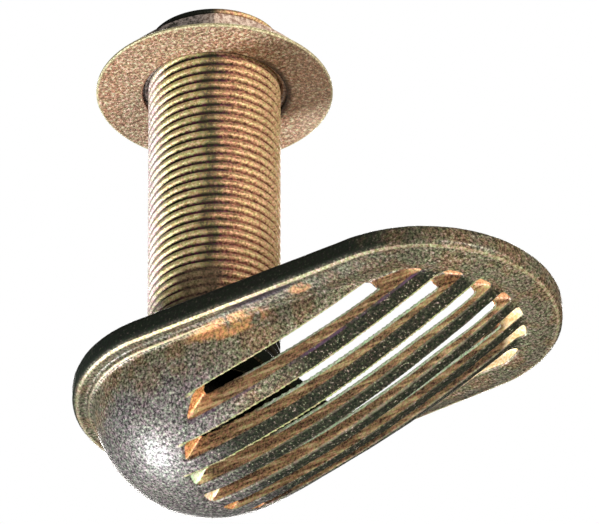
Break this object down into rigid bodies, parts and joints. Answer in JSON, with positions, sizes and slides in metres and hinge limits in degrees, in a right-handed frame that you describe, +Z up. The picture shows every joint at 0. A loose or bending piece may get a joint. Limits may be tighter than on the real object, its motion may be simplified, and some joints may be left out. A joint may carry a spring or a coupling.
{
  "type": "through-hull fitting",
  "caption": "Bronze scoop strainer through-hull intake: slotted scoop on an oval flange, hollow threaded stem, flat washer and hexagon nut.",
  "frame": {"origin": "stem axis where it crosses the flange's hull-side face", "axes": "+Z up the stem, away from the scoop; +X along the flange towards the scoop's shallow tip; +Y across"},
  "size_m": [0.1068, 0.0566, 0.1106],
  "materials": {
    "cast_bronze": "as cast, weathered",
    "washer_bronze": "rough",
    "nut_bronze": "machined"
  },
  "bodies": {
    "fitting": {"strainer_body": "cast_bronze"},
    "washer": {"washer": "washer_bronze"},
    "nut": {"hex_nut": "nut_bronze"}
  },
  "joints": [
    {"name": "washer_slide", "type": "slide", "parent": "fitting", "child": "washer", "axis": [0, 0, 1], "range_m": [-0.0651, 0.0081]},
    {"name": "nut_turn", "type": "hinge", "parent": "washer", "child": "nut", "pos_m": [0, 0, 0.076], "axis": [0, 0, 1], "range_deg": [-11700, 1440]}
  ],
  "couplings": [
    {"joint": "washer_slide", "follows": "nut_turn", "m_per_rad": 0.00031831}
  ]
}
